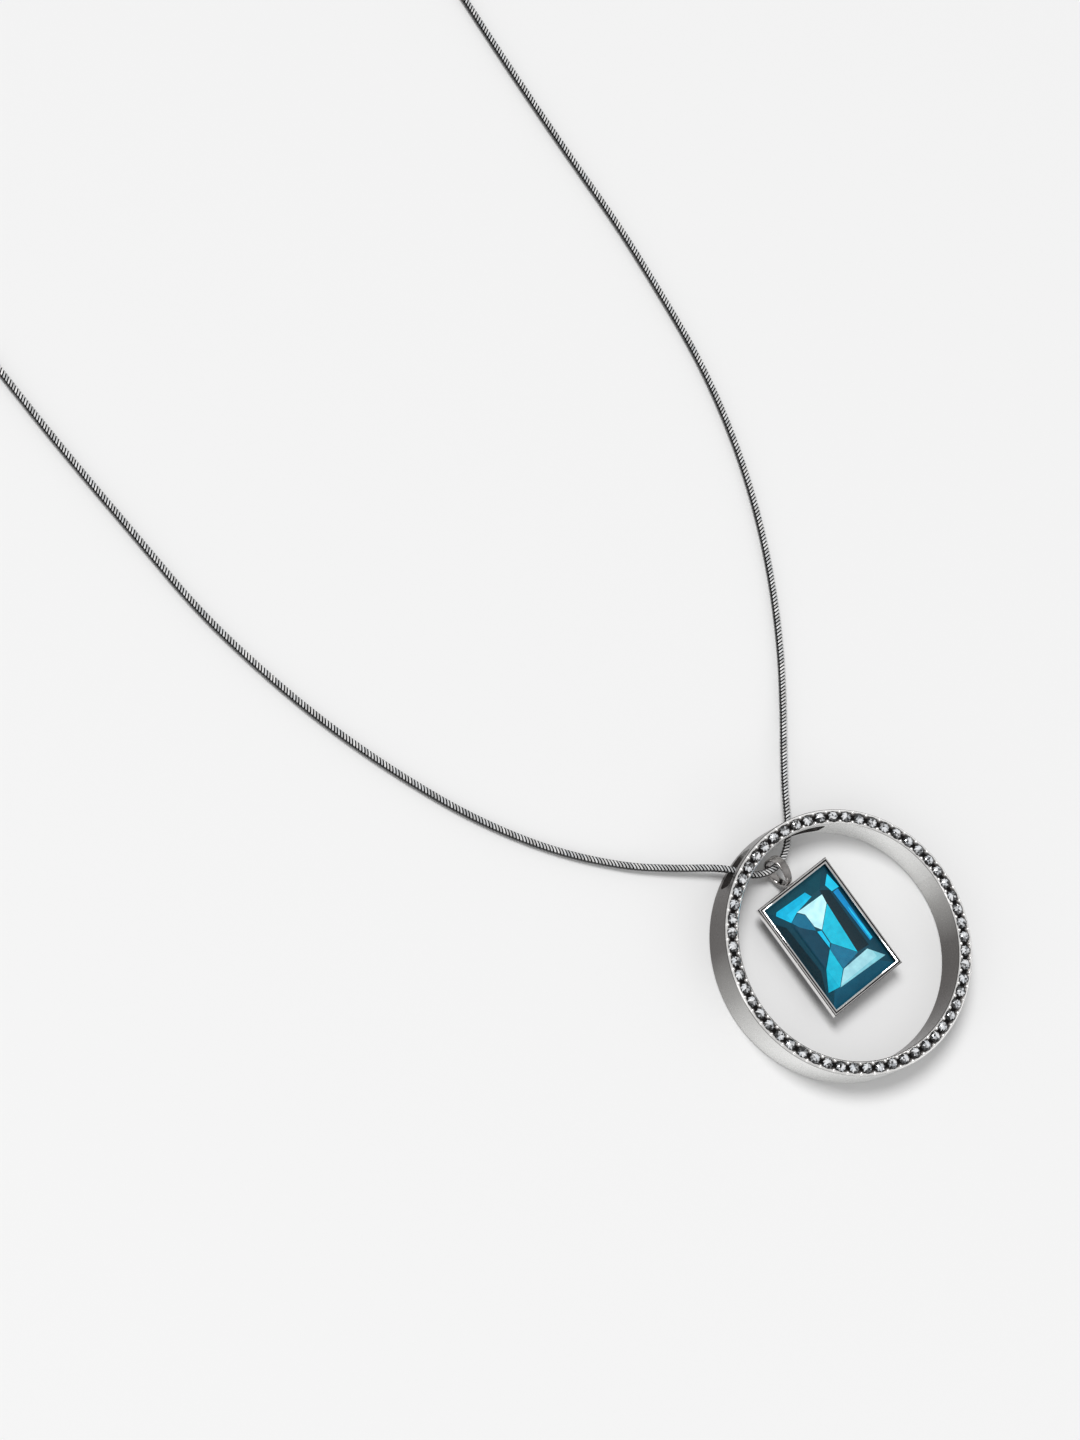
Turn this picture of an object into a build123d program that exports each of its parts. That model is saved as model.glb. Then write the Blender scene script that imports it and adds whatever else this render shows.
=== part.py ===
"""Pendant necklace: an open ring set with small stones, and a rectangular crystal drop inside it.

Units are millimetres. The necklace lies on its back on a flat surface, z = 0. The origin is the centre
of the ring's back face, +Y points from the crystal up to the neck, and +X to the right.
"""
import os
from math import pi, radians, sqrt, tan

from build123d import *

os.makedirs("parts", exist_ok=True)

# ---------------------------------------------------------------- ring
ring_outer_radius = 20.0
ring_wall = 2.2
ring_depth = 6.0
ring_edge_rounding = 0.25
slot_height = 3.4
slot_middle_angle = 20.0  # each slot's middle, either side of +Y
slot_arc = 20.0
slot_corner_rounding = 0.8
length_tolerance = 0.01
stone_count = 56
stone_circle_inset = 0.05  # stones sit this much inside the middle of the wall
stone_diameter = 1.65
stone_crown_height = 0.30
stone_girdle_height = 0.08
stone_pavilion_height = 0.72
stone_table_radius = 0.45
stone_sink = 0.10  # girdle's top edge below the ring's front face
seat_clearance = 0.03
seat_drill_radius = 0.25
channel_depth = 0.20
channel_width = 1.50
grain_radius = 0.27
grain_inset = 0.36  # grain centres, from the ring's inner and outer walls

# ---------------------------------------------------------------- chain
chain_diameter = 1.10
chain_floor_height = 0.60  # centre line of the chain where it lies flat
chain_end_height = 1.50  # centre line of the chain where the end caps hold it up

# ---------------------------------------------------------------- crystal drop
drop_middle_x = -1.0
drop_middle_y = 2.2
crystal_length = 18.0
crystal_width = 13.0
crystal_crown_height = 1.0
crystal_girdle_height = 0.3
crystal_pavilion_height = 2.5
crystal_border = 2.5  # width of the sloping facets round the table
crystal_keel_width = 0.2
setting_wall = 0.55
setting_clearance = 0.10
setting_depth = 4.0
setting_band_height = 1.0  # upright part of the side walls
setting_taper = 2.2  # how far each side draws in towards the back
setting_back_thickness = 0.4
setting_ledge_width = 0.45
setting_lip = 0.35  # how far the rim is turned over the crystal
setting_lip_height = 0.50
setting_rim_bevel = 0.35
lip_clearance = 0.20  # girdle's top edge below the lip
hollow_taper = 2.0
cement_height = 1.1

# ---------------------------------------------------------------- bail
bail_length = 4.9
bail_height = 3.9
bail_width = 1.8
bail_thickness = 0.65
bail_middle_height = 2.6
bail_rounding = 0.30
bail_foot_length = 0.5  # flat foot soldered to the setting's wall
bail_foot_height = 1.5

# ---------------------------------------------------------------- ends of the chain
wire_diameter = 0.6
eye_radius = 1.0  # centre line of an eye's wire
jump_ring_radius = 1.4
jump_ring_height = 1.7
jump_ring_seam = 0.05
tag_ring_radius = 1.9
tag_ring_height = 2.2
end_gap = 0.08  # running gap between linked wires
cap_length = 4.5
cap_diameter = 1.9
cap_bore_depth = 3.5
cap_bore_clearance = 0.05
cap_rounding = 0.3
eye_sink = 0.1  # how far an eye reaches into the cap it is brazed to

# ---------------------------------------------------------------- lobster clasp
clasp_thickness = 2.4
clasp_body_length = 8.8
clasp_body_width = 6.2
clasp_neck_length = 1.6
clasp_neck_width = 1.6
neck_lap_on_body = 0.4
neck_lap_on_eye = 0.2
clasp_opening_length = 4.6
clasp_opening_width = 3.4
clasp_tip_thickness = 1.3
clasp_rounding = 0.6
gate_gap = 0.12
gate_length = 4.2
gate_edge = 1.0  # gate's inner edge, below the clasp's middle line
pivot_from_body_end = 2.0
pivot_offset = 1.5
pin_diameter = 0.6
pin_clearance = 0.03
hub_radius = 0.75
hub_thickness = 0.7
hub_gap = 0.1  # between the hub and the start of the gate
trigger_slot_length = 2.25
trigger_slot_shift = 0.575
trigger_slot_rise = 1.1  # slot's top above the pivot, so that the gate can swing in
trigger_inset = 0.15  # trigger's outer edge inside the body's outline
gate_thickness = 1.1
cheek_gap = 0.10
thumb_radius = 0.55
thumb_reach = 1.9
thumb_arm_width = 0.7
spring_wire = 0.12
spring_pitch = 0.17

# ---------------------------------------------------------------- route of the chain's centre line
low = chain_floor_height
end_high = chain_end_height
chain_route = [
    (-16.5, 202.0, end_high),  # bottom of the left end cap's bore
    (-23.5, 202.0, end_high),
    (-32.3, 199.8, 1.0),
    (-40.3, 194.2, low),
    (-46.9, 185.8, low),
    (-51.3, 175.5, low),
    (-53.5, 164.0, low),
    (-54.0, 152.6, low),
    (-53.5, 141.8, low),
    (-53.1, 130.6, low),
    (-52.4, 119.2, low),
    (-51.4, 106.6, low),
    (-50.5, 94.3, low),
    (-48.1, 82.2, low),
    (-44.8, 70.2, low),
    (-40.4, 58.7, low),
    (-35.1, 47.5, low),
    (-28.1, 37.0, low),
    (-20.1, 28.6, 0.8),
    (-13.6, 23.7, 1.4),
    (-9.0, 20.6, 1.9),
    (-6.6, 18.5, 2.1),  # left slot
    (-4.5, 15.9, 2.2),
    (-1.2, 14.85, 2.3),  # bail
    (2.2, 15.75, 2.2),
    (5.2, 18.8, 2.1),  # right slot
    (8.0, 22.7, 1.8),
    (12.1, 27.5, 1.2),
    (16.9, 32.9, 0.7),
    (23.1, 40.9, low),
    (29.4, 51.0, low),
    (34.5, 61.4, low),
    (38.4, 72.3, low),
    (41.1, 83.7, low),
    (42.4, 95.2, low),
    (43.4, 106.8, low),
    (43.6, 118.4, low),
    (44.0, 130.3, low),
    (44.6, 141.6, low),
    (45.3, 152.5, low),
    (45.0, 164.3, low),
    (42.9, 175.8, low),
    (38.6, 186.2, low),
    (31.9, 194.7, low),
    (24.0, 200.1, 1.0),
    (15.2, 202.0, end_high),
    (8.2, 202.0, end_high),  # bottom of the right end cap's bore
]
run_share = 0.45  # part of the shorter run that a bend takes up

# ---------------------------------------------------------------- worked-out sizes
ring_inner_radius = ring_outer_radius - ring_wall
stone_circle = ring_outer_radius - ring_wall / 2 - stone_circle_inset
stone_radius = stone_diameter / 2
stone_girdle_top = ring_depth - stone_sink
stone_girdle_bottom = stone_girdle_top - stone_girdle_height
girdle_bottom = setting_depth - setting_lip_height - lip_clearance - crystal_girdle_height
girdle_top = girdle_bottom + crystal_girdle_height
table_height = girdle_top + crystal_crown_height
keel_height = girdle_bottom - crystal_pavilion_height
crystal_keel_length = crystal_length - crystal_width + crystal_keel_width  # all four slopes alike
pocket_length = crystal_length + 2 * setting_clearance
pocket_width = crystal_width + 2 * setting_clearance
setting_length = pocket_length + 2 * setting_wall
setting_width = pocket_width + 2 * setting_wall
band_bottom = setting_depth - setting_band_height
bail_front_y = drop_middle_y + setting_length / 2
bail_middle_y = bail_front_y + bail_length / 2
pin_radius = pin_diameter / 2
wire_radius = wire_diameter / 2
chain_radius = chain_diameter / 2
left_end = Vector(*chain_route[0])
right_end = Vector(*chain_route[-1])
link_reach = eye_radius - 2 * wire_radius - end_gap  # eye's middle to the linked wire's middle


def ring_offset(ring_radius, ring_height):
    """Distance along X from an eye's middle to the middle of the ring that hangs in it."""
    drop = ring_height - end_high
    return link_reach + sqrt(ring_radius**2 - drop**2)


def bend_radii(route):
    """Radius of the arc at each inner point of a route, as large as its two runs allow."""
    radii = []
    for before, corner, after in zip(route, route[1:], route[2:]):
        run_in = Vector(*corner) - Vector(*before)
        run_out = Vector(*after) - Vector(*corner)
        half_turn = radians(run_in.get_angle(run_out)) / 2
        radii.append(run_share * min(run_in.length, run_out.length) / tan(half_turn))
    return radii


def finish(builder, name):
    """Labels a finished piece and writes it."""
    builder.part.label = name
    export_step(builder.part, f"parts/{name}.step")


# ================================================================ ring band
with BuildPart() as ring_band:
    with BuildSketch(Plane.XZ) as band_section:
        with Locations((ring_inner_radius + ring_wall / 2, ring_depth / 2)):
            Rectangle(ring_wall, ring_depth)
        chamfer(band_section.vertices(), ring_edge_rounding)
    revolve(axis=Axis.Z)
    with BuildSketch(Plane.XZ):
        with Locations((stone_circle, ring_depth)):
            Rectangle(channel_width, 2 * channel_depth)
    revolve(axis=Axis.Z, mode=Mode.SUBTRACT)
    for side in (-1, 1):
        slot_start = 90 + side * slot_middle_angle - slot_arc / 2
        slot_plane = Plane.XZ.rotated((0, 0, slot_start))
        with BuildSketch(slot_plane):
            with Locations((ring_inner_radius + ring_wall / 2, ring_depth / 2)):
                Rectangle(2 * ring_wall, slot_height)
        revolve(axis=Axis.Z, revolution_arc=slot_arc, mode=Mode.SUBTRACT)
    slot_corners = ring_band.edges().filter_by(GeomType.LINE).filter_by(
        lambda edge: abs(edge.length - ring_wall) < length_tolerance
    )
    fillet(slot_corners, slot_corner_rounding)
    with PolarLocations(stone_circle, stone_count):
        with Locations((0, 0, stone_girdle_bottom)):
            Cylinder(
                stone_radius + seat_clearance,
                ring_depth,
                align=(Align.CENTER, Align.CENTER, Align.MIN),
                mode=Mode.SUBTRACT,
            )
            Cone(
                0.0,
                stone_radius,
                stone_pavilion_height,
                align=(Align.CENTER, Align.CENTER, Align.MAX),
                mode=Mode.SUBTRACT,
            )
            Cylinder(
                seat_drill_radius,
                stone_pavilion_height + channel_depth,
                align=(Align.CENTER, Align.CENTER, Align.MAX),
                mode=Mode.SUBTRACT,
            )
    for grain_circle in (ring_inner_radius + grain_inset, ring_outer_radius - grain_inset):
        with PolarLocations(grain_circle, stone_count, start_angle=180 / stone_count):
            with Locations((0, 0, ring_depth - channel_depth / 2)):
                Sphere(grain_radius)
finish(ring_band, "ring_band")

# ================================================================ ring stones
with BuildPart() as ring_stones:
    with PolarLocations(stone_circle, stone_count):
        with Locations((0, 0, stone_girdle_bottom)):
            Cone(
                0.0,
                stone_radius,
                stone_pavilion_height,
                align=(Align.CENTER, Align.CENTER, Align.MAX),
            )
            Cylinder(
                stone_radius,
                stone_girdle_height,
                align=(Align.CENTER, Align.CENTER, Align.MIN),
            )
        with Locations((0, 0, stone_girdle_top)):
            Cone(
                stone_radius,
                stone_table_radius,
                stone_crown_height,
                align=(Align.CENTER, Align.CENTER, Align.MIN),
            )
finish(ring_stones, "ring_stones")

# ================================================================ crystal
with BuildPart() as blue_crystal:
    with BuildSketch(Plane((drop_middle_x, drop_middle_y, keel_height))):
        Rectangle(crystal_keel_width, crystal_keel_length)
    with BuildSketch(Plane((drop_middle_x, drop_middle_y, girdle_bottom))):
        Rectangle(crystal_width, crystal_length)
    loft()
    with BuildSketch(Plane((drop_middle_x, drop_middle_y, girdle_bottom))):
        Rectangle(crystal_width, crystal_length)
    extrude(amount=crystal_girdle_height)
    with BuildSketch(Plane((drop_middle_x, drop_middle_y, girdle_top))):
        Rectangle(crystal_width, crystal_length)
    with BuildSketch(Plane((drop_middle_x, drop_middle_y, table_height))):
        Rectangle(crystal_width - 2 * crystal_border, crystal_length - 2 * crystal_border)
    loft()
finish(blue_crystal, "blue_crystal")

# ================================================================ setting
hollow_width = pocket_width - 2 * setting_ledge_width
hollow_length = pocket_length - 2 * setting_ledge_width
crystal_half_run = (crystal_width - crystal_keel_width) / 2
ledge_drop = (crystal_width - hollow_width) / 2 * crystal_pavilion_height / crystal_half_run
ledge_height = girdle_bottom - ledge_drop
rim_opening_width = pocket_width - 2 * setting_lip
rim_opening_length = pocket_length - 2 * setting_lip
with BuildPart() as setting:
    with BuildSketch(Plane((drop_middle_x, drop_middle_y, 0))):
        Rectangle(setting_width - 2 * setting_taper, setting_length - 2 * setting_taper)
    with BuildSketch(Plane((drop_middle_x, drop_middle_y, band_bottom))):
        Rectangle(setting_width, setting_length)
    loft()
    with BuildSketch(Plane((drop_middle_x, drop_middle_y, band_bottom))):
        Rectangle(setting_width, setting_length)
    extrude(amount=setting_band_height)
    chamfer(setting.faces().sort_by(Axis.Z)[-1].edges(), setting_rim_bevel)
    with BuildSketch(Plane((drop_middle_x, drop_middle_y, ledge_height))):
        Rectangle(pocket_width, pocket_length)
    extrude(amount=setting_depth - setting_lip_height - ledge_height, mode=Mode.SUBTRACT)
    with BuildSketch(Plane((drop_middle_x, drop_middle_y, ledge_height))):
        Rectangle(rim_opening_width, rim_opening_length)
    extrude(amount=setting_depth, mode=Mode.SUBTRACT)
    with BuildSketch(Plane((drop_middle_x, drop_middle_y, setting_back_thickness))):
        Rectangle(hollow_width - 2 * hollow_taper, hollow_length - 2 * hollow_taper)
    with BuildSketch(Plane((drop_middle_x, drop_middle_y, ledge_height))):
        Rectangle(hollow_width, hollow_length)
    loft(mode=Mode.SUBTRACT)
finish(setting, "setting")

# ================================================================ cement that beds the crystal's keel
cement_share = cement_height / (ledge_height - setting_back_thickness)
with BuildPart() as crystal_cement:
    with BuildSketch(Plane((drop_middle_x, drop_middle_y, setting_back_thickness))):
        Rectangle(hollow_width - 2 * hollow_taper, hollow_length - 2 * hollow_taper)
    with BuildSketch(Plane((drop_middle_x, drop_middle_y, setting_back_thickness + cement_height))):
        cement_inset = hollow_taper * (1 - cement_share)
        Rectangle(hollow_width - 2 * cement_inset, hollow_length - 2 * cement_inset)
    loft()
    add(blue_crystal.part, mode=Mode.SUBTRACT)
finish(crystal_cement, "crystal_cement")

# ================================================================ bail
with BuildPart() as bail:
    with BuildSketch(Plane.YZ.offset(drop_middle_x - bail_width / 2)):
        with Locations((bail_middle_y, bail_middle_height)):
            SlotOverall(bail_length, bail_height)
    extrude(amount=bail_width)
    bail_rims = bail.faces().filter_by(Axis.X).edges()
    fillet(bail_rims, bail_rounding)
    with BuildSketch(Plane.YZ.offset(drop_middle_x - bail_width / 2)):
        with Locations((bail_middle_y, bail_middle_height)):
            SlotOverall(bail_length - 2 * bail_thickness, bail_height - 2 * bail_thickness)
    extrude(amount=bail_width, mode=Mode.SUBTRACT)
    with BuildSketch(Plane.XZ.offset(-bail_front_y)):
        with Locations((drop_middle_x, bail_middle_height)):
            Rectangle(bail_width - 2 * bail_rounding, bail_foot_height)
    extrude(amount=-bail_foot_length)
finish(bail, "bail")

# ================================================================ chain
with BuildPart() as snake_chain:
    with BuildLine() as chain_line:
        FilletPolyline(*chain_route, radius=bend_radii(chain_route))
    with BuildSketch(Plane(origin=chain_line.line @ 0, z_dir=chain_line.line % 0)):
        Circle(chain_radius)
    sweep(path=chain_line.line)
finish(snake_chain, "snake_chain")
chain_length = chain_line.wire().length
chain_section = pi * chain_radius**2
print("chain radii", [round(radius, 1) for radius in bend_radii(chain_route)])
print("chain smallest radius", round(min(bend_radii(chain_route)), 2))
print("chain length", round(chain_length, 2))
print("chain volume over section times length", snake_chain.part.volume / chain_section / chain_length)


# ================================================================ end caps
def end_cap(bore_bottom, outward):
    """A cup over the chain's end, with an eye. outward is +1 where the eye points along +X."""
    closed_end = bore_bottom.X + outward * (cap_length - cap_bore_depth)
    with BuildPart() as cap:
        with Locations(Location((closed_end, bore_bottom.Y, bore_bottom.Z), (0, -90 * outward, 0))):
            Cylinder(cap_diameter / 2, cap_length, align=(Align.CENTER, Align.CENTER, Align.MIN))
        fillet(cap.edges().filter_by(GeomType.CIRCLE), cap_rounding)
        with Locations(Location((bore_bottom.X, bore_bottom.Y, bore_bottom.Z), (0, -90 * outward, 0))):
            Cylinder(
                chain_radius + cap_bore_clearance,
                cap_length,
                align=(Align.CENTER, Align.CENTER, Align.MIN),
                mode=Mode.SUBTRACT,
            )
        with Locations((closed_end + outward * (eye_radius - eye_sink), bore_bottom.Y, bore_bottom.Z)):
            Torus(eye_radius, wire_radius)
    return cap


left_cap_eye_x = left_end.X + cap_length - cap_bore_depth + eye_radius - eye_sink
right_cap_eye_x = right_end.X - cap_length + cap_bore_depth - eye_radius + eye_sink
left_end_cap = end_cap(left_end, 1)
finish(left_end_cap, "left_end_cap")
right_end_cap = end_cap(right_end, -1)
finish(right_end_cap, "right_end_cap")


# ================================================================ jump ring and tag ring
def upright_ring(middle_x, middle_y, radius, height, has_seam):
    """A wire ring that stands on its edge along X."""
    with BuildPart() as ring:
        with Locations(Location((middle_x, middle_y, height), (90, 0, 0))):
            Torus(radius, wire_radius)
        if has_seam:
            with Locations((middle_x, middle_y, height + radius)):
                Box(jump_ring_seam, 2 * wire_diameter, 2 * wire_diameter, mode=Mode.SUBTRACT)
    return ring


jump_ring_x = left_cap_eye_x + ring_offset(jump_ring_radius, jump_ring_height)
jump_ring = upright_ring(jump_ring_x, left_end.Y, jump_ring_radius, jump_ring_height, True)
finish(jump_ring, "jump_ring")
tag_ring_x = right_cap_eye_x - ring_offset(tag_ring_radius, tag_ring_height)
tag_ring = upright_ring(tag_ring_x, right_end.Y, tag_ring_radius, tag_ring_height, False)
finish(tag_ring, "tag_ring")

# ================================================================ lobster clasp
clasp_eye_x = jump_ring_x + ring_offset(jump_ring_radius, jump_ring_height)
clasp_y = left_end.Y
body_start = clasp_eye_x + eye_radius + clasp_neck_length - neck_lap_on_body - neck_lap_on_eye
body_middle = body_start + clasp_body_length / 2
opening_middle = body_start + clasp_body_length - clasp_tip_thickness - clasp_opening_length / 2
pivot_x = body_start + pivot_from_body_end
pivot_y = clasp_y - pivot_offset
gate_start = pivot_x + hub_radius + hub_gap
gate_end = gate_start + gate_length
gate_middle_y = clasp_y - gate_edge - gate_gap - clasp_body_width / 2
thumb_x = gate_start + gate_gap + thumb_arm_width / 2
clasp_bottom = end_high - clasp_thickness / 2
hub_bottom = end_high - gate_thickness / 2
slot_gap = gate_thickness / 2 + cheek_gap

with BuildPart() as clasp_body:
    with BuildSketch(Plane.XY.offset(clasp_bottom)):
        with Locations((body_middle, clasp_y)):
            Ellipse(clasp_body_length / 2, clasp_body_width / 2)
    extrude(amount=clasp_thickness)
    fillet(clasp_body.faces().filter_by(Axis.Z).edges(), clasp_rounding)
    with BuildSketch(Plane.XY.offset(clasp_bottom)):
        with Locations((opening_middle, clasp_y)):
            Ellipse(clasp_opening_length / 2, clasp_opening_width / 2)
    extrude(amount=clasp_thickness, mode=Mode.SUBTRACT)
    with BuildSketch(Plane.XY.offset(clasp_bottom)):
        with Locations(((gate_start + gate_end) / 2, clasp_y - gate_edge - clasp_body_width / 2)):
            Rectangle(gate_length, clasp_body_width)
    extrude(amount=clasp_thickness, mode=Mode.SUBTRACT)
    with BuildSketch(Plane.XY.offset(end_high - slot_gap)):
        with Locations((pivot_x, pivot_y)):
            Circle(hub_radius + 2 * cheek_gap)
        with Locations((pivot_x + trigger_slot_shift, pivot_y + trigger_slot_rise - clasp_body_width / 2)):
            Rectangle(trigger_slot_length, clasp_body_width)
    extrude(amount=2 * slot_gap, mode=Mode.SUBTRACT)
    with Locations((body_start - clasp_neck_length / 2 + neck_lap_on_body, clasp_y, end_high)):
        Box(clasp_neck_length, clasp_neck_width, 2 * wire_diameter)
    with Locations((clasp_eye_x, clasp_y, end_high)):
        Cylinder(eye_radius - wire_radius, clasp_thickness, mode=Mode.SUBTRACT)
        Torus(eye_radius, wire_radius)
    with Locations((pivot_x, pivot_y, end_high)):
        Cylinder(pin_radius, clasp_thickness, mode=Mode.SUBTRACT)
finish(clasp_body, "clasp_body")

with BuildPart() as clasp_pin:
    with Locations((pivot_x, pivot_y, end_high)):
        Cylinder(pin_radius, clasp_thickness)
finish(clasp_pin, "clasp_pin")

with BuildPart() as clasp_trigger:
    with BuildSketch(Plane.XY.offset(hub_bottom)):
        with Locations((body_middle, clasp_y)):
            Ellipse(clasp_body_length / 2 - trigger_inset, clasp_body_width / 2 - trigger_inset)
        with Locations((opening_middle, clasp_y)):
            Ellipse(clasp_opening_length / 2, clasp_opening_width / 2, mode=Mode.SUBTRACT)
        with Locations(((pivot_x + gate_end - gate_gap) / 2, gate_middle_y)):
            Rectangle(gate_end - gate_gap - pivot_x, clasp_body_width, mode=Mode.INTERSECT)
        with Locations((pivot_x, pivot_y)):
            Circle(hub_radius)
    extrude(amount=hub_thickness)
    with BuildSketch(Plane.XY.offset(hub_bottom)):
        with Locations((body_middle, clasp_y)):
            Ellipse(clasp_body_length / 2 - trigger_inset, clasp_body_width / 2 - trigger_inset)
        with Locations((opening_middle, clasp_y)):
            Ellipse(clasp_opening_length / 2, clasp_opening_width / 2, mode=Mode.SUBTRACT)
        with Locations(((gate_start + gate_end) / 2, gate_middle_y)):
            Rectangle(gate_length - 2 * gate_gap, clasp_body_width, mode=Mode.INTERSECT)
    extrude(amount=gate_thickness)
    with BuildSketch(Plane.XY.offset(hub_bottom)):
        with Locations((thumb_x, pivot_y - thumb_reach)):
            Circle(thumb_radius)
        with Locations((thumb_x, pivot_y - thumb_reach / 2)):
            Rectangle(thumb_arm_width, thumb_reach)
    extrude(amount=gate_thickness)
    with Locations((pivot_x, pivot_y, end_high)):
        Cylinder(pin_radius + pin_clearance, clasp_thickness, mode=Mode.SUBTRACT)
finish(clasp_trigger, "clasp_trigger")

spring_bottom = hub_bottom + hub_thickness + spring_wire
spring_room = end_high + slot_gap - spring_bottom - spring_wire
with BuildPart() as trigger_spring:
    with BuildLine() as spring_line:
        Helix(
            pitch=spring_pitch,
            height=spring_room,
            radius=pin_radius + spring_wire,
            center=(pivot_x, pivot_y, spring_bottom),
        )
    with BuildSketch(Plane(origin=spring_line.line @ 0, z_dir=spring_line.line % 0)):
        Circle(spring_wire / 2)
    sweep(path=spring_line.line, is_frenet=True)
finish(trigger_spring, "trigger_spring")
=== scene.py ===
"""Looks of the pendant necklace: gunmetal ring with small stones, blue crystal drop, snake chain.

Lengths are millimetres where a name ends in _mm, and metres everywhere else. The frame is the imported
model's own: z = 0 is the surface it lies on, +Y points from the crystal up to the neck.
"""

import math
import random

import bpy
from mathutils import Matrix, Vector


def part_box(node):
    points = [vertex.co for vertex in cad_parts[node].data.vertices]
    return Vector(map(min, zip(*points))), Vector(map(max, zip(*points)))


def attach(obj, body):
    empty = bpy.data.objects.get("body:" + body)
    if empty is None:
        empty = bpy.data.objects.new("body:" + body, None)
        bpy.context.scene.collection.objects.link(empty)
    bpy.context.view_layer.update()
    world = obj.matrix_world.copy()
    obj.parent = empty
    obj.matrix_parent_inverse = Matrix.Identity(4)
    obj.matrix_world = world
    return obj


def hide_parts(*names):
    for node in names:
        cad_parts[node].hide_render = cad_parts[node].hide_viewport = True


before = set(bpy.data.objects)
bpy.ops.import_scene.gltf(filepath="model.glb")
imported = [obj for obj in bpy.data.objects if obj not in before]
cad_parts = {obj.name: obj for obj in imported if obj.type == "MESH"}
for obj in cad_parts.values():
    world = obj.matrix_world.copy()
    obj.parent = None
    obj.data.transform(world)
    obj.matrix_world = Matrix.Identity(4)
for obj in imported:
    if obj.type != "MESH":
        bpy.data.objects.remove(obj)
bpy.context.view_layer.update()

MM = 0.001
RING_BODY = "ring"
DROP_BODY = "drop"
CHAIN_BODY = "chain"


# ================================================================ finishes
class Signal:
    """A shader socket that takes part in Python arithmetic."""

    def __init__(self, finish, socket):
        self.finish = finish
        self.socket = socket

    def _math(self, operation, first, second):
        return self.finish.node("ShaderNodeMath", {"operation": operation}, {0: first, 1: second})

    def __add__(self, other):
        return self._math("ADD", self, other)

    def __sub__(self, other):
        return self._math("SUBTRACT", self, other)

    def __rsub__(self, other):
        return self._math("SUBTRACT", other, self)

    def __mul__(self, other):
        return self._math("MULTIPLY", self, other)

    def __pow__(self, other):
        return self._math("POWER", self, other)

    __radd__ = __add__
    __rmul__ = __mul__


class Finish:
    """One material and the nodes that make it."""

    def __init__(self, name):
        self.material = bpy.data.materials.new(name)
        self.material.use_nodes = True
        self.tree = self.material.node_tree
        self.tree.nodes.clear()

    def node(self, kind, settings=None, inputs=None, output=0):
        """Adds a node: its settings first, then the values or links of its sockets."""
        made = self.tree.nodes.new(kind)
        for name, value in (settings or {}).items():
            if name == "stops":
                self._set_stops(made.color_ramp, value)
            else:
                setattr(made, name, value)
        for name, value in (inputs or {}).items():
            if isinstance(value, Signal):
                self.tree.links.new(value.socket, made.inputs[name])
            else:
                made.inputs[name].default_value = value
        return Signal(self, made.outputs[output])

    @staticmethod
    def _set_stops(ramp, stops):
        while len(ramp.elements) < len(stops):
            ramp.elements.new(0.5)
        for element, (place, colour) in zip(ramp.elements, stops):
            element.position = place
            element.color = colour

    def place(self):
        """The point on the piece, in metres."""
        return self.node("ShaderNodeTexCoord", output="Object")

    def noise(self, per_metre, detail=3.0):
        """Cloudy values about 0.5, with per_metre blobs to the metre."""
        return self.node(
            "ShaderNodeTexNoise", None, {"Vector": self.place(), "Scale": per_metre, "Detail": detail}
        )

    def blend(self, share, first, second, kind="MIX"):
        """first where share is 0 and second where it is 1, or the two multiplied."""
        return self.node(
            "ShaderNodeMix",
            {"data_type": "RGBA", "blend_type": kind},
            {"Factor": share, 6: first, 7: second},
            output=2,
        )

    def ramp(self, value, stops):
        return self.node("ShaderNodeValToRGB", {"stops": stops}, {"Fac": value})

    def apart(self, vector):
        """The three parts of a vector."""
        split = self.node("ShaderNodeSeparateXYZ", None, {0: vector})
        outputs = split.socket.node.outputs
        return tuple(Signal(self, outputs[i]) for i in range(3))

    def above(self, value, limit, softness):
        """0 where value is under limit and 1 where it is over, with a soft step."""
        return self.node(
            "ShaderNodeMapRange",
            {"interpolation_type": "SMOOTHSTEP"},
            {"Value": value, "From Min": limit - softness, "From Max": limit + softness},
        )

    def bump(self, height, depth, strength=1.0):
        return self.node(
            "ShaderNodeBump", None, {"Height": height, "Distance": depth, "Strength": strength}, "Normal"
        )

    def principled(self, inputs):
        return self.node("ShaderNodeBsdfPrincipled", None, inputs)

    def surface(self, shader):
        output = self.tree.nodes.new("ShaderNodeOutputMaterial")
        self.tree.links.new(shader.socket, output.inputs["Surface"])
        return self.material


def opaque(red, green, blue):
    return (red, green, blue, 1.0)


def plated_metal(name, dark, light, smooth, peak_level, cloud_per_metre, scratch_depth):
    """Polished plating: colour clouds, hairline wear in the gloss and a faint ripple."""
    finish = Finish(name)
    cloud = finish.noise(cloud_per_metre)
    hairlines = finish.noise(cloud_per_metre * 14, 5.0)
    colour = finish.blend(cloud, dark, light)
    roughness = smooth + (peak_level - smooth) * (hairlines**2)
    ripple = finish.bump(hairlines, scratch_depth, 0.5)
    shader = finish.principled(
        {"Base Color": colour, "Metallic": 1.0, "Roughness": roughness, "Normal": ripple}
    )
    return finish.surface(shader)


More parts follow.
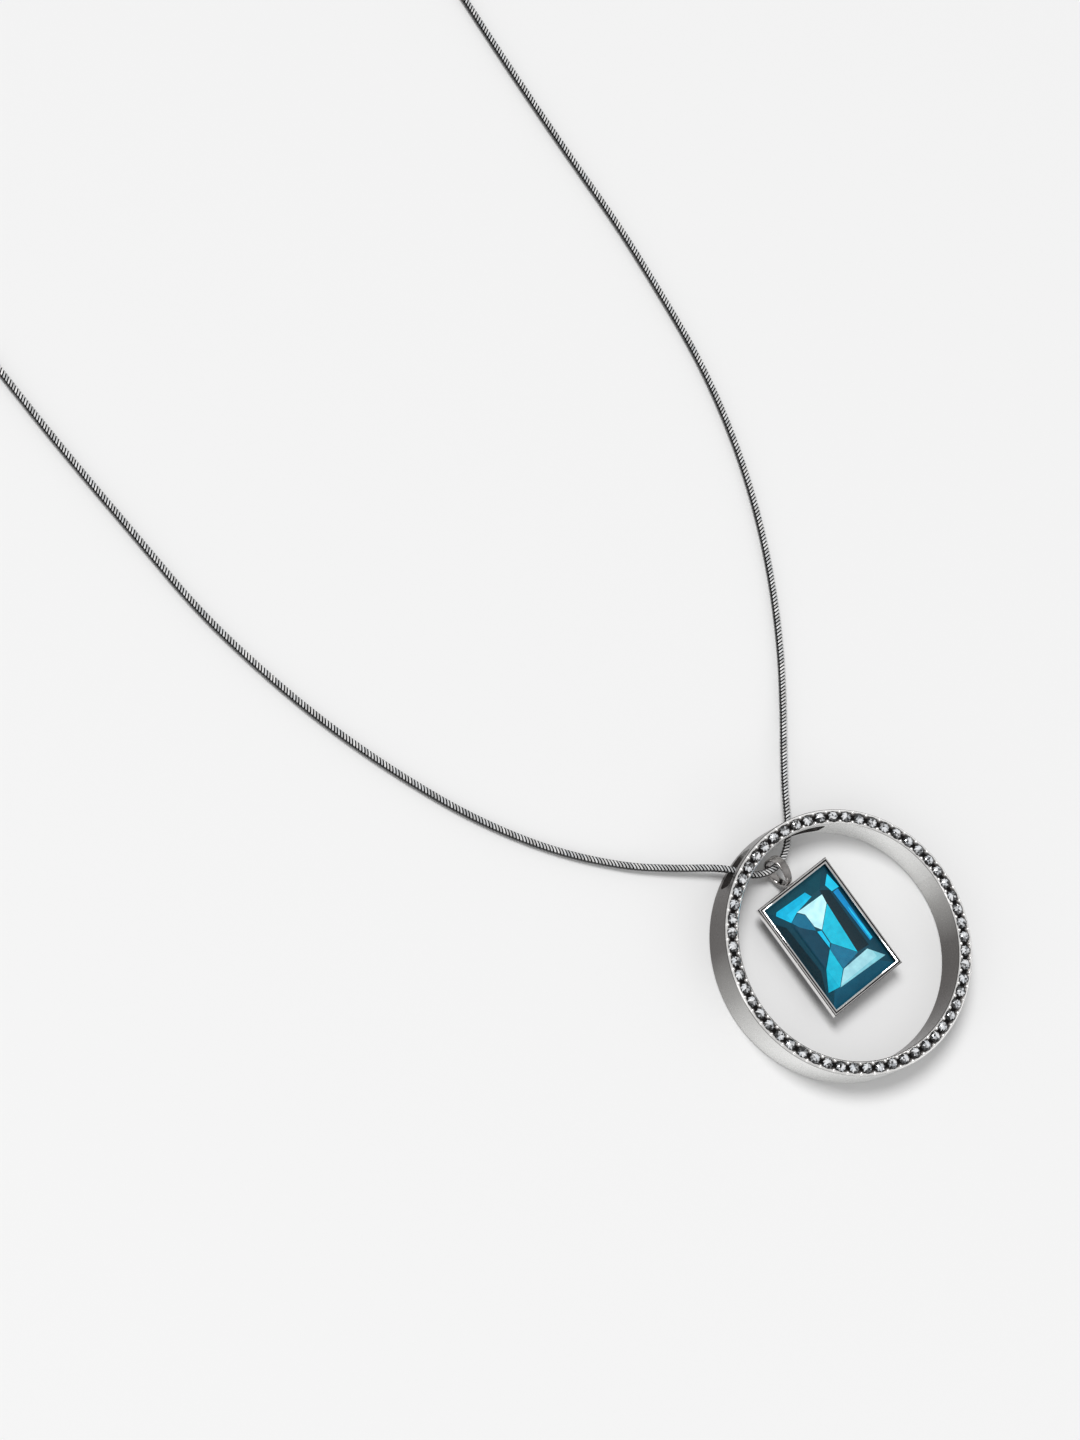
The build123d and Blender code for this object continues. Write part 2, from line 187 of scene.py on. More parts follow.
def facet_paint(name, metallic, roughness, sheen_streaks_per_metre, painted_glow=0.0):
    """Each facet's tone, which holds painted light and shade, with faint streaks and, where asked for, a
    painted glow.
    """
    finish = Finish(name)
    tone = finish.node("ShaderNodeAttribute", {"attribute_name": "facet_tone"}, output="Color")
    streak = finish.noise(sheen_streaks_per_metre, 2.0)
    streaks = finish.ramp(streak, [(0.25, opaque(0.72, 0.76, 0.8)), (0.7, opaque(1, 1, 1))])
    colour = finish.blend(1.0, tone, streaks, "MULTIPLY")
    shader = finish.principled(
        {
            "Base Color": colour,
            "Metallic": metallic,
            "Roughness": roughness,
            "Emission Color": colour,
            "Emission Strength": painted_glow,
        }
    )
    return finish.surface(shader)


GLASS_INDEX = 1.52


def clear_glass(name, tint, gloss, mirror_share):
    """A glass skin: what is behind shows through tinted, and it mirrors as glass does."""
    finish = Finish(name)
    through = finish.node("ShaderNodeBsdfTransparent", None, {"Color": tint})
    mirror = finish.principled(
        {"Base Color": opaque(0.95, 0.97, 1.0), "Metallic": 1.0, "Roughness": gloss}
    )
    share = finish.node("ShaderNodeFresnel", None, {"IOR": GLASS_INDEX}) * mirror_share
    shader = finish.node("ShaderNodeMixShader", None, {0: share, 1: through, 2: mirror})
    return finish.surface(shader)


RING_CHANNEL_INNER = 18.06 * MM
RING_CHANNEL_OUTER = 19.64 * MM
RING_FRONT = 6.0 * MM
STONE_COUNT = 56
SCALLOP_DEPTH = 0.22 * MM  # half of how far the painted highlight on the edges reaches in between the stones
CHANNEL_FLOOR = 4.9 * MM
# how deep the painted highlight on the band's front rim reaches
PAINTED_RIM_DEPTH = 0.16 * MM
TONE_EDGE = 0.03 * MM  # how soft the step from the painted shade in the channel to the painted highlight is
PAINTED_LIGHT_SIDE = (-0.55, -0.84)  # the way that the palest side of the painted wall shade faces, in X and Y
WALL_SHADE_START = -0.5
WALL_SHADE_END = 1.05
# how strongly the band glows in its own colour: a painted glow that stands in for reflections of the room
BAND_PAINTED_GLOW = 0.16


def band_metal():
    """The ring's plating: walls and channel with painted shade, rims with painted highlights, a painted
    glow, grains.
    """
    finish = Finish("gunmetal_band")
    x, y, z = finish.apart(finish.place())
    radius = (x * x + y * y) ** 0.5
    turned = finish.node("ShaderNodeMath", {"operation": "ARCTAN2"}, {0: y, 1: x})
    wave = finish.node("ShaderNodeMath", {"operation": "COSINE"}, {0: turned * STONE_COUNT})
    scallop = (1 - wave) * SCALLOP_DEPTH
    # painted shade: the channel round the stones, under the front face, is nearly black
    in_channel = finish.above(radius - scallop, RING_CHANNEL_INNER, TONE_EDGE) * (
        1 - finish.above(radius + scallop, RING_CHANNEL_OUTER, TONE_EDGE)
    )
    below_front = 1 - finish.above(z, RING_FRONT + 0.02 * MM, TONE_EDGE)
    painted_channel_shade = in_channel * below_front * finish.above(z, CHANNEL_FLOOR, 0.1 * MM)
    wall_x, wall_y, _ = finish.apart(finish.node("ShaderNodeNewGeometry", output=1))
    # painted shade: the walls are paler on the side that faces the light and darker away from it
    painted_light_facing = finish.node(
        "ShaderNodeMapRange",
        {"interpolation_type": "SMOOTHSTEP"},
        {
            "Value": PAINTED_LIGHT_SIDE[0] * wall_x + PAINTED_LIGHT_SIDE[1] * wall_y,
            "From Min": WALL_SHADE_START,
            "From Max": WALL_SHADE_END,
        },
    )
    cloud = finish.noise(90)
    hairlines = finish.noise(1600, 5.0)
    # wall colour: painted shade by the way the wall faces, with a little random tone from the cloud
    wall_tone_and_painted_shade = finish.ramp(
        painted_light_facing + 0.12 * (cloud - 0.5),
        [
            (0.0, opaque(0.058, 0.051, 0.048)),
            (0.28, opaque(0.095, 0.089, 0.086)),
            (0.60, opaque(0.30, 0.296, 0.288)),
            (0.95, opaque(0.72, 0.72, 0.71)),
        ],
    )
    # painted highlight: the front rim of the band is nearly white
    painted_rim_highlight = finish.above(z, RING_FRONT - PAINTED_RIM_DEPTH, 0.05 * MM)
    painted_lit = finish.blend(painted_rim_highlight, wall_tone_and_painted_shade, opaque(0.93, 0.92, 0.91))
    colour = finish.blend(painted_channel_shade, painted_lit, opaque(0.012, 0.011, 0.011))
    roughness = 0.20 + 0.22 * (hairlines**2) + 0.25 * painted_channel_shade
    shader = finish.principled(
        {
            "Base Color": colour,
            "Metallic": 1.0,
            "Roughness": roughness,
            "Normal": finish.bump(hairlines, 0.000004, 0.5),
            # painted glow: the band glows in its own colour, standing in for reflections of the room
            "Emission Color": colour,
            "Emission Strength": BAND_PAINTED_GLOW,
        }
    )
    return finish.surface(shader)


def clear_cement():
    """The pale bed under the crystal."""
    finish = Finish("clear_cement")
    clouds = finish.noise(600)
    shader = finish.principled(
        {
            "Base Color": finish.blend(clouds, opaque(0.5, 0.48, 0.42), opaque(0.62, 0.6, 0.55)),
            "Roughness": 0.3 + 0.2 * clouds,
        }
    )
    return finish.surface(shader)


gunmetal_band = band_metal()
# The setting's plating in two copies: one with a painted highlight for its lit bands, one with painted
# shade
painted_highlight_setting = plated_metal(
    "painted_highlight_setting", opaque(0.86, 0.85, 0.84), opaque(0.97, 0.96, 0.95), 0.05, 0.16, 200, 0.000003
)
painted_shade_setting = plated_metal(
    "painted_shade_setting", opaque(0.035, 0.032, 0.034), opaque(0.10, 0.09, 0.095), 0.15, 0.30, 200, 0.000003
)
gunmetal_bail = plated_metal(
    "gunmetal_bail", opaque(0.05, 0.043, 0.04), opaque(0.85, 0.82, 0.80), 0.06, 0.20, 900, 0.000003
)
gunmetal_fittings = plated_metal(
    "gunmetal_fittings", opaque(0.24, 0.23, 0.22), opaque(0.34, 0.33, 0.32), 0.30, 0.48, 300, 0.000003
)
spring_wire_steel = plated_metal(
    "spring_wire_steel", opaque(0.50, 0.50, 0.51), opaque(0.60, 0.60, 0.61), 0.25, 0.40, 500, 0.000002
)
# painted reflections in the facet tones, with a painted glow as if the foiled crystal gathered light
crystal_foil = facet_paint("crystal_foil", 0.15, 0.35, 900, painted_glow=0.32)
stone_facets = facet_paint("stone_facets", 0.25, 0.08, 1500)
gunmetal_links = facet_paint("gunmetal_links", 0.15, 0.22, 700)
table_glass = clear_glass("table_glass", opaque(0.92, 0.98, 1.0), 0.02, 0.30)
slope_glass = clear_glass("slope_glass", opaque(0.66, 0.88, 0.92), 0.04, 0.25)


def dress(node, material):
    """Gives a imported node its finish."""
    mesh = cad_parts[node].data
    mesh.materials.clear()
    mesh.materials.append(material)


FITTINGS = (
    "left_end_cap",
    "right_end_cap",
    "jump_ring",
    "tag_ring",
    "clasp_body",
    "clasp_pin",
    "clasp_trigger",
)
for node in FITTINGS:
    dress(node, gunmetal_fittings)
dress("ring_band", gunmetal_band)
dress("trigger_spring", spring_wire_steel)
dress("crystal_cement", clear_cement())


# ================================================================ meshes
CORNERS = ((-1, -1), (1, -1), (1, 1), (-1, 1))  # of a level rectangle, anticlockwise from the lower left


def new_piece(name, points, faces, materials, face_slots=None, tones=None, smooth=False):
    """A mesh object from points in metres. tones gives each face its own colour, painted light and shade
    included.
    """
    mesh = bpy.data.meshes.new(name)
    mesh.from_pydata(points, [], faces)
    for material in materials:
        mesh.materials.append(material)
    if face_slots:
        mesh.polygons.foreach_set("material_index", face_slots)
    if tones:
        layer = mesh.color_attributes.new("facet_tone", "FLOAT_COLOR", "CORNER")
        for polygon, tone in zip(mesh.polygons, tones):
            for corner in polygon.loop_indices:
                layer.data[corner].color = (*tone, 1.0)
    mesh.polygons.foreach_set("use_smooth", [smooth] * len(mesh.polygons))
    mesh.validate()
    mesh.update()
    piece = bpy.data.objects.new(name, mesh)
    bpy.context.scene.collection.objects.link(piece)
    return piece


def ring_points(middle, radius, height, count, first_angle=0.0):
    return [
        Vector(
            (
                middle.x + radius * math.cos(first_angle + math.tau * i / count),
                middle.y + radius * math.sin(first_angle + math.tau * i / count),
                height,
            )
        )
        for i in range(count)
    ]


# ================================================================ small stones of the ring
stone_low, stone_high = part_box("ring_stones")
STONE_RADIUS = 0.825 * MM
STONE_CIRCLE = stone_high.x - STONE_RADIUS
STONE_TIP = stone_low.z
STONE_TABLE = stone_high.z
GIRDLE_TOP = STONE_TABLE - 0.30 * MM
GIRDLE_BOTTOM = GIRDLE_TOP - 0.08 * MM
WAIST_RISE = 0.17 * MM  # the level between the girdle and the table where the facets meet
TABLE_SHARE = 0.55  # of the stone's radius
WAIST_SHARE = 0.80
PAINTED_DARK = 0.02  # painted shade on the outer facets, the girdle and the cut back
draw = random.Random(7)


def grey(level):
    return (level, level, level * 1.01)


def crown_tones(painted_highlight_side):
    """Six facets for each eighth of a crown: painted highlight towards the lit side, painted reflections
    at random elsewhere.
    """
    tones = []
    for eighth in range(8):
        turned = math.cos(math.tau * eighth / 8 - painted_highlight_side)
        table = 1.0 if turned > 0.6 else draw.choice((0.05, 0.25, 0.55, 0.85))
        star = 1.0 if turned > 0.2 else draw.choice((0.04, 0.20, 0.80))
        kite = 0.90 if turned > 0.4 else draw.choice((0.03, 0.10, 0.45))
        tones.extend(grey(level) for level in (table, star, kite, kite * 0.5, PAINTED_DARK, PAINTED_DARK))
    return tones


def add_stone(points, faces, tones, middle, turn):
    """One brilliant-cut stone: table, star facets, kites, girdle and pavilion."""
    first = len(points)
    eighth = math.tau / 8
    table = ring_points(middle, STONE_RADIUS * TABLE_SHARE, STONE_TABLE, 8, turn)
    waist_turn = turn + eighth / 2
    waist = ring_points(middle, STONE_RADIUS * WAIST_SHARE, GIRDLE_TOP + WAIST_RISE, 8, waist_turn)
    girdle = ring_points(middle, STONE_RADIUS, GIRDLE_TOP, 16, turn)
    lower = ring_points(middle, STONE_RADIUS, GIRDLE_BOTTOM, 16, turn)
    centre = Vector((middle.x, middle.y, STONE_TABLE))
    tip = Vector((middle.x, middle.y, STONE_TIP))
    points.extend(table + waist + girdle + lower + [centre, tip])
    t, w, g, l, c, p = first, first + 8, first + 16, first + 32, first + 48, first + 49
    stone_faces = []
    for i in range(8):
        j = (i + 1) % 8
        k = (2 * i + 1) % 16
        n = (2 * i + 2) % 16
        stone_faces.append((c, t + i, t + j))
        stone_faces.append((t + i, w + i, t + j))
        stone_faces.append((t + j, w + i, g + n))
        stone_faces.append((t + i, g + 2 * i, w + i))
        stone_faces.append((w + i, g + 2 * i, g + k))
        stone_faces.append((w + i, g + k, g + n))
    for i in range(16):
        j = (i + 1) % 16
        stone_faces.append((g + i, l + i, l + j, g + j))
        stone_faces.append((p, l + j, l + i))
    faces.extend(stone_faces)
    # painted reflections: each crown's facets are light towards one random side and dark elsewhere
    tones.extend(crown_tones(draw.uniform(0, math.tau)))
    tones.extend(grey(PAINTED_DARK) for _ in range(32))


stone_points, stone_faces, stone_colours = [], [], []
for number in range(STONE_COUNT):
    angle = math.tau * number / STONE_COUNT
    seat = Vector((STONE_CIRCLE * math.cos(angle), STONE_CIRCLE * math.sin(angle), 0))
    add_stone(stone_points, stone_faces, stone_colours, seat, draw.uniform(0, math.tau / 8))
small_stones = new_piece("small_stones", stone_points, stone_faces, [stone_facets], tones=stone_colours)
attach(small_stones, RING_BODY)
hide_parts("ring_stones")

# ================================================================ crystal
crystal_low, crystal_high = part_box("blue_crystal")
crystal_middle = (crystal_low + crystal_high) / 2
HALF_WIDTH = (crystal_high.x - crystal_low.x) / 2
HALF_LENGTH = (crystal_high.y - crystal_low.y) / 2
CRYSTAL_TOP = crystal_high.z
GIRDLE_DROP = 1.0 * MM
GIRDLE_THICKNESS = 0.3 * MM
BORDER = 2.5 * MM
KEEL_HALF = 2.7 * MM
SEEN_DEPTH = 2.3 * MM  # how deep the keel looks below the table
FOIL_LIFT = 0.03 * MM  # how far the first painted facet lies above the cut back
FOIL_STEP = 0.3  # how much further each one after it lies, as a share of that
girdle_low = CRYSTAL_TOP - GIRDLE_DROP - GIRDLE_THICKNESS
keel_low = CRYSTAL_TOP - SEEN_DEPTH


def pavilion_height(x, y):
    """Height of the cut back of the crystal at a place measured from its middle."""
    rise = max(abs(x) / HALF_WIDTH, (abs(y) - KEEL_HALF) / (HALF_LENGTH - KEEL_HALF), 0)
    return keel_low + (girdle_low - keel_low) * min(rise, 1)


def in_crystal(x, y, z):
    return Vector((crystal_middle.x + x, crystal_middle.y + y, z))


def crystal_ring(inset, z):
    """The four corners of a level outline of the crystal."""
    x, y = HALF_WIDTH - inset, HALF_LENGTH - inset
    return [in_crystal(a * x, b * y, z) for a, b in CORNERS]


# The crystal's blue in tones of painted reflection: the palest ones painted highlight, the darkest
# painted shade.
CYAN = (0.010, 0.58, 0.84)
ICE = (0.68, 1.0, 1.0)
TURQUOISE = (0.008, 0.52, 0.68)
TEAL = (0.008, 0.16, 0.27)
PALE = (0.42, 0.70, 0.74)
BLUE = (0.030, 0.74, 1.0)
BLACK_PAINTED_SHADE = (0.003, 0.016, 0.024)
# The cut back's blue with painted shade that differs by side, for its lower end, right side, upper end
# and left side.
BACK_PAINTED_SHADES = ((0.005, 0.085, 0.14), (0.006, 0.055, 0.085), (0.008, 0.070, 0.095), (0.005, 0.052, 0.078))
DEEP_BLUE = (0.010, 0.32, 0.66)
BLUE_PAINTED_SHADE = (0.005, 0.052, 0.088)

# Facets laid on the cut back, each by its tone and its corners, measured from the crystal's middle. The
# tones are painted reflections and painted shade over the crystal's blue.
painted_facets_mm = [
    (BLACK_PAINTED_SHADE, [(3.7, 6.2), (4.9, 5.4), (4.9, -4.6), (2.9, -4.4), (3.4, 4.1)]),
    (BLACK_PAINTED_SHADE, [(-5.8, 6.3), (-4.5, 4.9), (-4.1, -3.3), (-5.8, -6.4)]),
    (CYAN, [(-4.4, 7.6), (1.4, 7.3), (2.0, 6.2), (-1.5, 5.7), (-3.3, 5.0), (-4.8, 7.2)]),
    (ICE, [(-1.5, 5.7), (3.6, 5.5), (3.4, 4.1), (0.4, 1.4), (-0.3, 2.4), (-0.5, 4.7)]),
    (TEAL, [(-3.3, 5.0), (-1.5, 5.5), (-0.6, 4.6), (-0.4, 2.4), (-0.5, 1.8), (-2.4, 3.4)]),
    (TURQUOISE, [(3.4, 4.0), (2.8, -4.4), (0.3, -1.0), (0.4, 1.3)]),
    (TEAL, [(0.3, -1.1), (2.8, -4.5), (-0.7, -5.0), (-0.5, -1.6)]),
    (TURQUOISE, [(-0.5, -1.6), (-0.8, -5.0), (-3.1, -6.8), (-5.3, -6.4), (-3.2, -3.6)]),
    (PALE, [(-3.1, -6.9), (-0.7, -5.1), (4.3, -4.9), (6.0, -7.3)]),
    (BLUE, [(6.1, 7.5), (6.4, 4.9), (5.1, 5.0), (4.8, 6.3)]),
    (DEEP_BLUE, [(6.1, 4.8), (6.0, -4.1), (5.4, -4.2), (5.2, 4.8)]),
    (BLUE, [(5.75, 2.0), (6.0, -4.0), (5.6, -4.1), (5.6, 1.0)]),
    (BLUE_PAINTED_SHADE, [(-0.7, 1.7), (-3.4, 4.6), (-3.3, -3.4), (-0.6, -1.5)]),
    (CYAN, [(-0.5, 1.6), (0.2, 1.3), (0.1, -0.9), (-0.4, -1.4)]),
]


def build_crystal():
    """Glass table and slopes over a foiled back with painted reflections and shade, closed all round."""
    points = (
        crystal_ring(BORDER, CRYSTAL_TOP)
        + crystal_ring(0, CRYSTAL_TOP - GIRDLE_DROP)
        + crystal_ring(0, girdle_low)
        + [in_crystal(0, -KEEL_HALF, keel_low), in_crystal(0, KEEL_HALF, keel_low)]
    )
    faces = [(0, 1, 2, 3)]
    slots = [0]
    tones = [(1, 1, 1)]
    for i in range(4):
        j = (i + 1) % 4
        faces.append((4 + i, 4 + j, j, i))
        faces.append((8 + i, 8 + j, 4 + j, 4 + i))
        slots.extend((1, 1))
        tones.extend(((1, 1, 1), (1, 1, 1)))
    for back, tone in zip(((9, 8, 12), (10, 9, 12, 13), (11, 10, 13), (8, 11, 13, 12)), BACK_PAINTED_SHADES):
        faces.append(back)
        slots.append(2)
        tones.append(tone)
    for order, (tone, corners) in enumerate(painted_facets_mm):
        first = len(points)
        lift = FOIL_LIFT * (1 + order * FOIL_STEP)
        for x, y in corners:
            points.append(in_crystal(x * MM, y * MM, pavilion_height(x * MM, y * MM) + lift))
        faces.append(tuple(reversed(range(first, len(points)))))
        slots.append(2)
        tones.append(tone)
    return new_piece(
        "cut_crystal", points, faces, [table_glass, slope_glass, crystal_foil], slots, tones
    )


cut_crystal = build_crystal()
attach(cut_crystal, DROP_BODY)
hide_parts("blue_crystal")

# ================================================================ setting
setting_low, setting_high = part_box("setting")
setting_middle = (setting_low + setting_high) / 2
SETTING_HALF_WIDTH = (setting_high.x - setting_low.x) / 2
SETTING_HALF_LENGTH = (setting_high.y - setting_low.y) / 2
# The wall's section: how far in from the outer wall, how high, and whether the metal from there to the
# next line gets the painted highlight (True) or the painted shade (False).
wall_section_mm = [
    (2.20, 0.00, False),
    (0.00, 3.00, True),
    (0.00, 3.62, True),
    (0.03, 3.78, False),
    (0.10, 3.91, True),
    (0.18, 3.96, True),
    (0.27, 3.94, False),
    (0.33, 3.84, False),
    (0.43, 3.84, False),
    (0.49, 3.95, True),
    (0.59, 4.00, True),
    (0.69, 3.95, True),
    (0.76, 3.82, False),
    (0.78, 3.52, False),
    (0.57, 3.50, False),
    (0.57, 2.95, False),
    (1.00, 2.85, False),
    (3.00, 0.40, False),
]


def build_setting():
    """The box setting: one wall section carried round four mitred corners, with a closed back."""
    points = []
    for inset, height, _ in wall_section_mm:
        x, y = SETTING_HALF_WIDTH - inset * MM, SETTING_HALF_LENGTH - inset * MM
        for a, b in CORNERS:
            points.append(Vector((setting_middle.x + a * x, setting_middle.y + b * y, height * MM)))
    faces = [(3, 2, 1, 0)]
    slots = [1]
    for r, (_, _, painted_lit) in enumerate(wall_section_mm[:-1]):
        for i in range(4):
            j = (i + 1) % 4
            faces.append((4 * r + i, 4 * r + j, 4 * r + 4 + j, 4 * r + 4 + i))
            slots.append(0 if painted_lit else 1)
    last = 4 * (len(wall_section_mm) - 1)
    faces.append((last, last + 1, last + 2, last + 3))
    slots.append(1)
    # painted highlight on the bands marked bright, painted shade on all the others
    metals = [painted_highlight_setting, painted_shade_setting]
    return new_piece("box_setting", points, faces, metals, slots, smooth=True)


box_setting = build_setting()
box_setting.data.set_sharp_from_angle(angle=math.radians(40))
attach(box_setting, DROP_BODY)
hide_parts("setting")

# ================================================================ bail
bail_low, bail_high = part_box("bail")
bail_middle = (bail_low + bail_high) / 2
BAIL_THICKNESS = 0.42 * MM
BAIL_NARROW = 1.1 * MM  # where it meets the setting
BAIL_WIDE = 1.8 * MM  # at the far end of the loop
BAIL_TWIST = math.radians(20)  # the far end leans over to the right
BAIL_STEPS = 64
SECTION_STEPS = 16
STRIP_FLATNESS = 0.4  # under 1 squares the strip's section off across its width
STRIP_ROUNDNESS = 0.8


def rounded(value, power):
    """value drawn out towards 1 or -1 when power is under 1."""
    return math.copysign(abs(value) ** power, value)


def build_bail():
    """A loop of rounded strip, widest at its far end."""
    half_length = (bail_high.y - bail_low.y - BAIL_THICKNESS) / 2
    half_height = (bail_high.z - bail_low.z - BAIL_THICKNESS) / 2
    points, faces = [], []
    for step in range(BAIL_STEPS):
        angle = math.tau * step / BAIL_STEPS
        outward = Vector((0, math.cos(angle) / half_length, math.sin(angle) / half_height)).normalized()
        spine = bail_middle + Vector((0, half_length * math.cos(angle), half_height * math.sin(angle)))
        open_end = (1 + math.cos(angle)) / 2
        width = BAIL_NARROW + (BAIL_WIDE - BAIL_NARROW) * open_end
        lean = Matrix.Rotation(BAIL_TWIST * open_end, 3, "Y")
        for turn in range(SECTION_STEPS):
            around = math.tau * turn / SECTION_STEPS
            across = rounded(math.cos(around), STRIP_FLATNESS) * width / 2
            depth = rounded(math.sin(around), STRIP_ROUNDNESS) * BAIL_THICKNESS / 2
            offset = spine - bail_middle + Vector((across, 0, 0)) + outward * depth
            points.append(bail_middle + lean @ offset)
    for step in range(BAIL_STEPS):
        after = (step + 1) % BAIL_STEPS
        for turn in range(SECTION_STEPS):
            beside = (turn + 1) % SECTION_STEPS
            faces.append(
                (
                    step * SECTION_STEPS + turn,
                    step * SECTION_STEPS + beside,
                    after * SECTION_STEPS + beside,
                    after * SECTION_STEPS + turn,
                )
            )
    return new_piece("bail_loop", points, faces, [gunmetal_bail], smooth=True)


bail_loop = build_bail()
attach(bail_loop, DROP_BODY)
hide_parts("bail")

# ================================================================ snake chain
low_mm = 0.60
end_high_mm = 1.50
chain_route_mm = [
    (-16.5, 202.0, end_high_mm),
    (-23.5, 202.0, end_high_mm),
    (-32.3, 199.8, 1.0),
    (-40.3, 194.2, low_mm),
    (-46.9, 185.8, low_mm),
    (-51.3, 175.5, low_mm),
    (-53.5, 164.0, low_mm),
    (-54.0, 152.6, low_mm),
    (-53.5, 141.8, low_mm),
    (-53.1, 130.6, low_mm),
    (-52.4, 119.2, low_mm),
    (-51.4, 106.6, low_mm),
    (-50.5, 94.3, low_mm),
    (-48.1, 82.2, low_mm),
    (-44.8, 70.2, low_mm),
    (-40.4, 58.7, low_mm),
    (-35.1, 47.5, low_mm),
    (-28.1, 37.0, low_mm),
    (-20.1, 28.6, 0.8),
    (-13.6, 23.7, 1.4),
    (-9.0, 20.6, 1.9),
    (-6.6, 18.5, 2.1),
    (-4.5, 15.9, 2.2),
    (-1.2, 14.85, 2.3),
    (2.2, 15.75, 2.2),
    (5.2, 18.8, 2.1),
    (8.0, 22.7, 1.8),
    (12.1, 27.5, 1.2),
    (16.9, 32.9, 0.7),
    (23.1, 40.9, low_mm),
    (29.4, 51.0, low_mm),
    (34.5, 61.4, low_mm),
    (38.4, 72.3, low_mm),
    (41.1, 83.7, low_mm),
    (42.4, 95.2, low_mm),
    (43.4, 106.8, low_mm),
    (43.6, 118.4, low_mm),
    (44.0, 130.3, low_mm),
    (44.6, 141.6, low_mm),
    (45.3, 152.5, low_mm),
    (45.0, 164.3, low_mm),
    (42.9, 175.8, low_mm),
    (38.6, 186.2, low_mm),
    (31.9, 194.7, low_mm),
    (24.0, 200.1, 1.0),
    (15.2, 202.0, end_high_mm),
    (8.2, 202.0, end_high_mm),
]
CHAIN_RADIUS = 0.55 * MM
LINK_PITCH = 0.54 * MM
LINK_LAP = 1.12  # a link's length over the pitch, so that links reach into each other
LINK_TILT = math.radians(36)
LINK_SIDES = 16
PAINTED_GLINT_HALF = 0.72  # how far from the chain's middle line the painted glint reaches, in radii; beyond it the sides get painted shade
SIDE_PAINTED_SHADE = 0.05  # how bright the painted shade on the sides is, against the top
# the link ends get painted shade
LINK_END_PAINTED_SHADE = (0.02, 0.02, 0.02)
# Along each link: how far from its middle as a share of its length, its radius as a share of the
# chain's, and how bright it is painted there: painted glint on the crest, painted shade in the grooves.
link_profile = [
    (-0.50, 0.62, 0.01),
    (-0.32, 0.94, 0.01),
    (-0.28, 1.00, 1.00),
    (0.20, 1.00, 1.00),
    (0.25, 0.97, 0.01),
    (0.50, 0.62, 0.01),
]


def chain_centre_line():
    """Points along the smooth line through the route."""
    curve = bpy.data.curves.new("chain_line", "CURVE")
    curve.dimensions = "3D"
    spline = curve.splines.new("NURBS")
    spline.points.add(len(chain_route_mm) - 1)
    for point, place in zip(spline.points, chain_route_mm):
        point.co = (*(Vector(place) * MM), 1.0)
    spline.order_u = 3
    spline.use_endpoint_u = True
    spline.resolution_u = 16
    guide = bpy.data.objects.new("chain_line", curve)
    bpy.context.scene.collection.objects.link(guide)
    line = bpy.data.meshes.new_from_object(guide)
    found = [vertex.co.copy() for vertex in line.vertices]
    bpy.data.objects.remove(guide)
    return found


def evenly_along(line, spacing):
    """Places and directions at even spacing along a line of points."""
    places = []
    travelled = 0.0
    wanted = spacing / 2
    for start, end in zip(line, line[1:]):
        step = end - start
        while step.length > 0 and travelled + step.length >= wanted:
            places.append((start + step * ((wanted - travelled) / step.length), step.normalized()))
            wanted += spacing
        travelled += step.length
    return places, travelled


centre_line = chain_centre_line()
link_places, chain_length = evenly_along(centre_line, LINK_PITCH)


def add_link(points, faces, tones, middle, forward):
    """One closed barrel-shaped link, its edges slanted across the chain."""
    side = forward.cross(Vector((0, 0, 1))).normalized()
    up = side.cross(forward)
    first = len(points)
    for along, swell, _ in link_profile:
        for i in range(LINK_SIDES):
            angle = math.tau * i / LINK_SIDES
            across = CHAIN_RADIUS * swell * math.cos(angle)
            slant = across * math.tan(LINK_TILT)
            points.append(
                middle
                + forward * (along * LINK_PITCH * LINK_LAP + slant)
                + side * across
                + up * (CHAIN_RADIUS * swell * math.sin(angle))
            )
    rings = len(link_profile)
    polish = draw.uniform(0.6, 1.0)
    for r in range(rings - 1):
        for i in range(LINK_SIDES):
            j = (i + 1) % LINK_SIDES
            a, b = first + r * LINK_SIDES, first + (r + 1) * LINK_SIDES
            faces.append((a + i, b + i, b + j, a + j))
            # painted glint on the crests above and below, painted shade in the grooves and on the sides
            in_painted_glint = abs(math.cos(math.tau * (i + 0.5) / LINK_SIDES)) < PAINTED_GLINT_HALF
            peak_level = min(link_profile[r][2], link_profile[r + 1][2])
            painted_light_level = peak_level * polish * (1.0 if in_painted_glint else SIDE_PAINTED_SHADE)
            tones.append((painted_light_level, painted_light_level * 0.985, painted_light_level * 0.97))
    last = first + (rings - 1) * LINK_SIDES
    faces.append(tuple(range(first, first + LINK_SIDES)))
    faces.append(tuple(reversed(range(last, last + LINK_SIDES))))
    tones.extend((LINK_END_PAINTED_SHADE,) * 2)


link_points, link_faces, link_tones = [], [], []
for middle, forward in link_places:
    add_link(link_points, link_faces, link_tones, middle, forward)
chain_links = new_piece("chain_links", link_points, link_faces, [gunmetal_links], tones=link_tones)
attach(chain_links, CHAIN_BODY)
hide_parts("snake_chain")

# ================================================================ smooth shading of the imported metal
SHARP_EDGE = math.radians(35)
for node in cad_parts.values():
    if not node.hide_render:
        node.data.polygons.foreach_set("use_smooth", [True] * len(node.data.polygons))
        node.data.set_sharp_from_angle(angle=SHARP_EDGE)

# ================================================================ stage
FLOOR_HALF = 1.5
FLOOR_GREY = 0.90
KEY_STRENGTH = 1.86
KEY_SPREAD = math.radians(24)
KEY_DIRECTION = Vector((0.10, -0.45, -0.85))
STRIP_LONG = 0.4
STRIP_SHORT = 0.10
STRIP_POWER = 0.15
ROOM_STRENGTH = 0.45

